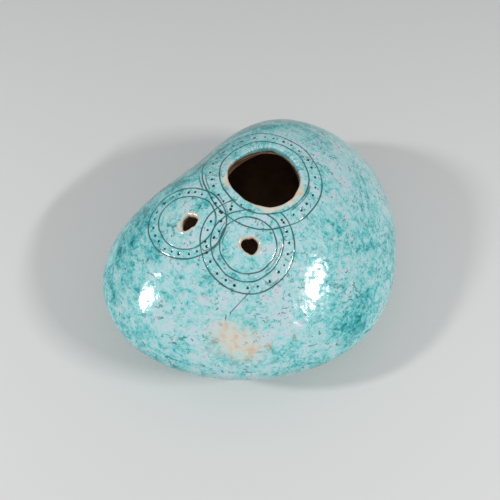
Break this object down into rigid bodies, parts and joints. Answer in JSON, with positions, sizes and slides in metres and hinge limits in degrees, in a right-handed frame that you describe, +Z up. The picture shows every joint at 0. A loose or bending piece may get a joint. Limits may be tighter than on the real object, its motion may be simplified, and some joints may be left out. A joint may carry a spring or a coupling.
{
  "type": "pebble vase",
  "caption": "Hollow free-form pebble-shaped ceramic vase on a flat foot, with a wide mouth at the crown, small stem holes beside it and incised dotted rings round each opening.",
  "frame": {"origin": "middle of the flat foot, on the surface the vase stands on", "axes": "+Z up from the foot to the mouth, +X to the right and +Y away, seen with the smaller holes in front of the mouth"},
  "size_m": [0.2303, 0.2454, 0.1177],
  "materials": {
    "clay": "bare stoneware, matt",
    "lip_glaze": "thin cream glaze, glossy",
    "mottled_glaze": "mottled turquoise and white glaze, glossy",
    "inner_wash": "dark brown wash, satin"
  },
  "bodies": {
    "root": {"upper_shell": "clay", "lower_shell": "clay", "seam_coil": "clay", "mouth_lip": "lip_glaze", "left_stem_lip": "lip_glaze", "middle_stem_lip": "lip_glaze", "upper_glaze": "mottled_glaze", "lower_glaze": "mottled_glaze", "inner_wash": "inner_wash"}
  },
  "joints": []
}
